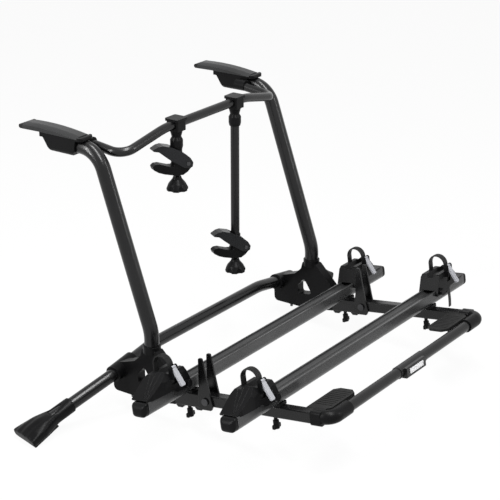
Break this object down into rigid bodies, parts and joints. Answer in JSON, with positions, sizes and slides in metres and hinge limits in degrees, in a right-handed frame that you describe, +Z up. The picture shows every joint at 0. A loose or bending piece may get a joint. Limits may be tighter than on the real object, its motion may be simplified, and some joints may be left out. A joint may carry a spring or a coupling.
{
  "type": "trunk mounted bike rack",
  "caption": "Folding bike rack that hooks over a tailgate: uprights with a top hoop, paddle feet, wheel rails with strapped holders, and clamp arms.",
  "frame": {"origin": "midway between the tips of the two hooks, where they rest on the top edge of the door", "axes": "+X across the car to its right side seen from behind, +Y forward into the car, +Z up"},
  "size_m": [1.4224, 0.9983, 0.7533],
  "materials": {
    "powder_coat": "satin black powder coat on steel tube",
    "cast_black": "black powder coat on a casting",
    "dark_steel": "blackened steel",
    "rail_grey": "satin dark grey powder coat",
    "moulded_black": "fine-grained black moulding",
    "blade_grey": "fine-grained dark grey moulding",
    "claw_black": "soft-touch black moulding",
    "strap_black": "ribbed flexible strap",
    "buckle_grey": "light grey moulding",
    "rubber_black": "matt black rubber"
  },
  "bodies": {
    "main_frame": {"left_upright": "powder_coat", "right_upright": "powder_coat", "top_hoop": "powder_coat", "lower_bar": "powder_coat", "left_side_bracket": "cast_black", "right_side_bracket": "cast_black", "bracket_bolts": "dark_steel", "left_front_arm": "powder_coat", "right_front_arm": "powder_coat", "hinge_cheeks": "powder_coat", "hinge_pins": "dark_steel", "front_rail": "rail_grey", "front_rail_saddles": "moulded_black", "front_rail_plugs": "moulded_black", "left_hook_housing": "moulded_black", "right_hook_housing": "moulded_black"},
    "folding_platform": {"left_rear_arm": "powder_coat", "right_rear_arm": "powder_coat", "rear_rail": "rail_grey", "rear_rail_saddles": "moulded_black", "rear_rail_plugs": "moulded_black", "rear_bar": "powder_coat", "corner_elbows": "moulded_black", "corner_pads": "rubber_black"},
    "front_left_holder": {"front_left_wheel_holder": "moulded_black", "front_left_wheel_strap": "strap_black"},
    "front_left_lever": {"front_left_buckle": "buckle_grey"},
    "front_left_knob": {"front_left_rail_knob": "moulded_black"},
    "front_right_holder": {"front_right_wheel_holder": "moulded_black", "front_right_wheel_strap": "strap_black"},
    "front_right_lever": {"front_right_buckle": "buckle_grey"},
    "front_right_knob": {"front_right_rail_knob": "moulded_black"},
    "rear_left_holder": {"rear_left_wheel_holder": "moulded_black", "rear_left_wheel_strap": "strap_black"},
    "rear_left_lever": {"rear_left_buckle": "buckle_grey"},
    "rear_left_knob": {"rear_left_rail_knob": "moulded_black"},
    "rear_right_holder": {"rear_right_wheel_holder": "moulded_black", "rear_right_wheel_strap": "strap_black"},
    "rear_right_lever": {"rear_right_buckle": "buckle_grey"},
    "rear_right_knob": {"rear_right_rail_knob": "moulded_black"},
    "short_arm": {"short_arm_clamp": "moulded_black", "short_arm_rod": "powder_coat"},
    "short_head": {"short_arm_head": "moulded_black", "short_arm_jaw_pin": "dark_steel"},
    "short_jaw": {"short_arm_jaw": "claw_black"},
    "short_knob": {"short_arm_knob": "moulded_black"},
    "long_arm": {"long_arm_clamp": "moulded_black", "long_arm_rod": "powder_coat"},
    "long_head": {"long_arm_head": "moulded_black", "long_arm_jaw_pin": "dark_steel"},
    "long_jaw": {"long_arm_jaw": "claw_black"},
    "long_knob": {"long_arm_knob": "moulded_black"},
    "left_hook": {"left_hook_blade": "blade_grey", "left_hook_lip": "rubber_black"},
    "left_paddle": {"left_foot": "moulded_black", "left_foot_sole": "rubber_black"},
    "right_hook": {"right_hook_blade": "blade_grey", "right_hook_lip": "rubber_black"},
    "right_paddle": {"right_foot": "moulded_black", "right_foot_sole": "rubber_black"}
  },
  "joints": [
    {"name": "platform_fold", "type": "hinge", "parent": "main_frame", "child": "folding_platform", "pos_m": [0, -0.6015, -0.63819], "axis": [-1, 0, 0], "range_deg": [0, 85]},
    {"name": "front_left_holder_slide", "type": "slide", "parent": "main_frame", "child": "front_left_holder", "axis": [1, 0, 0], "range_m": [-0.025, 0.02]},
    {"name": "front_left_buckle_hinge", "type": "hinge", "parent": "front_left_holder", "child": "front_left_lever", "pos_m": [-0.477, -0.55834, -0.5216], "axis": [-1, 0, 0], "range_deg": [0, 100]},
    {"name": "front_left_knob_spin", "type": "hinge", "parent": "main_frame", "child": "front_left_knob", "pos_m": [-0.38, -0.53522, -0.68348], "axis": [0, 0.1409, 0.99], "continuous": true},
    {"name": "front_right_holder_slide", "type": "slide", "parent": "main_frame", "child": "front_right_holder", "axis": [1, 0, 0], "range_m": [-0.02, 0.025]},
    {"name": "front_right_buckle_hinge", "type": "hinge", "parent": "front_right_holder", "child": "front_right_lever", "pos_m": [0.449, -0.55834, -0.5216], "axis": [-1, 0, 0], "range_deg": [0, 100]},
    {"name": "front_right_knob_spin", "type": "hinge", "parent": "main_frame", "child": "front_right_knob", "pos_m": [0.38, -0.53522, -0.68348], "axis": [0, 0.1409, 0.99], "continuous": true},
    {"name": "rear_left_holder_slide", "type": "slide", "parent": "folding_platform", "child": "rear_left_holder", "axis": [1, 0, 0], "range_m": [-0.025, 0.02]},
    {"name": "rear_left_buckle_hinge", "type": "hinge", "parent": "rear_left_holder", "child": "rear_left_lever", "pos_m": [-0.477, -0.83367, -0.48242], "axis": [-1, 0, 0], "range_deg": [0, 100]},
    {"name": "rear_left_knob_spin", "type": "hinge", "parent": "folding_platform", "child": "rear_left_knob", "pos_m": [-0.38, -0.80833, -0.63653], "axis": [0, 0.1409, 0.99], "continuous": true},
    {"name": "rear_right_holder_slide", "type": "slide", "parent": "folding_platform", "child": "rear_right_holder", "axis": [1, 0, 0], "range_m": [-0.02, 0.025]},
    {"name": "rear_right_buckle_hinge", "type": "hinge", "parent": "rear_right_holder", "child": "rear_right_lever", "pos_m": [0.449, -0.83367, -0.48242], "axis": [-1, 0, 0], "range_deg": [0, 100]},
    {"name": "rear_right_knob_spin", "type": "hinge", "parent": "folding_platform", "child": "rear_right_knob", "pos_m": [0.38, -0.80833, -0.63653], "axis": [0, 0.1409, 0.99], "continuous": true},
    {"name": "short_arm_swing", "type": "hinge", "parent": "main_frame", "child": "short_arm", "pos_m": [-0.13, -0.309, -0.009], "axis": [-1, 0, 0], "range_deg": [-15, 100]},
    {"name": "short_head_swivel", "type": "hinge", "parent": "short_arm", "child": "short_head", "pos_m": [-0.13, -0.309, -0.125], "axis": [0, 0, 1], "range_deg": [-90, 150]},
    {"name": "short_jaw_close", "type": "hinge", "parent": "short_head", "child": "short_jaw", "pos_m": [-0.10748, -0.322, -0.119], "axis": [-0.5, -0.866, 0], "range_deg": [0, 17]},
    {"name": "short_knob_turn", "type": "hinge", "parent": "short_head", "child": "short_knob", "pos_m": [-0.13, -0.309, -0.156], "axis": [0, 0, -1], "range_deg": [0, 250]},
    {"name": "long_arm_swing", "type": "hinge", "parent": "main_frame", "child": "long_arm", "pos_m": [0.135, -0.309, -0.009], "axis": [-1, 0, 0], "range_deg": [-15, 100]},
    {"name": "long_head_swivel", "type": "hinge", "parent": "long_arm", "child": "long_head", "pos_m": [0.135, -0.309, -0.448], "axis": [0, 0, 1], "range_deg": [-90, 150]},
    {"name": "long_jaw_close", "type": "hinge", "parent": "long_head", "child": "long_jaw", "pos_m": [0.15752, -0.322, -0.442], "axis": [-0.5, -0.866, 0], "range_deg": [0, 17]},
    {"name": "long_knob_turn", "type": "hinge", "parent": "long_head", "child": "long_knob", "pos_m": [0.135, -0.309, -0.479], "axis": [0, 0, -1], "range_deg": [0, 250]},
    {"name": "left_hook_slide", "type": "slide", "parent": "main_frame", "child": "left_hook", "axis": [0, 1, 0], "range_m": [0, 0.025]},
    {"name": "left_foot_slide", "type": "slide", "parent": "main_frame", "child": "left_paddle", "axis": [-0.9162, 0.2474, -0.3152], "range_m": [0, 0.04]},
    {"name": "right_hook_slide", "type": "slide", "parent": "main_frame", "child": "right_hook", "axis": [0, 1, 0], "range_m": [0, 0.025]},
    {"name": "right_foot_slide", "type": "slide", "parent": "main_frame", "child": "right_paddle", "axis": [0.9162, 0.2474, -0.3152], "range_m": [0, 0.04]}
  ],
  "couplings": [
    {"joint": "short_knob_turn", "follows": "short_jaw_close", "ratio": 14},
    {"joint": "long_knob_turn", "follows": "long_jaw_close", "ratio": 14}
  ]
}
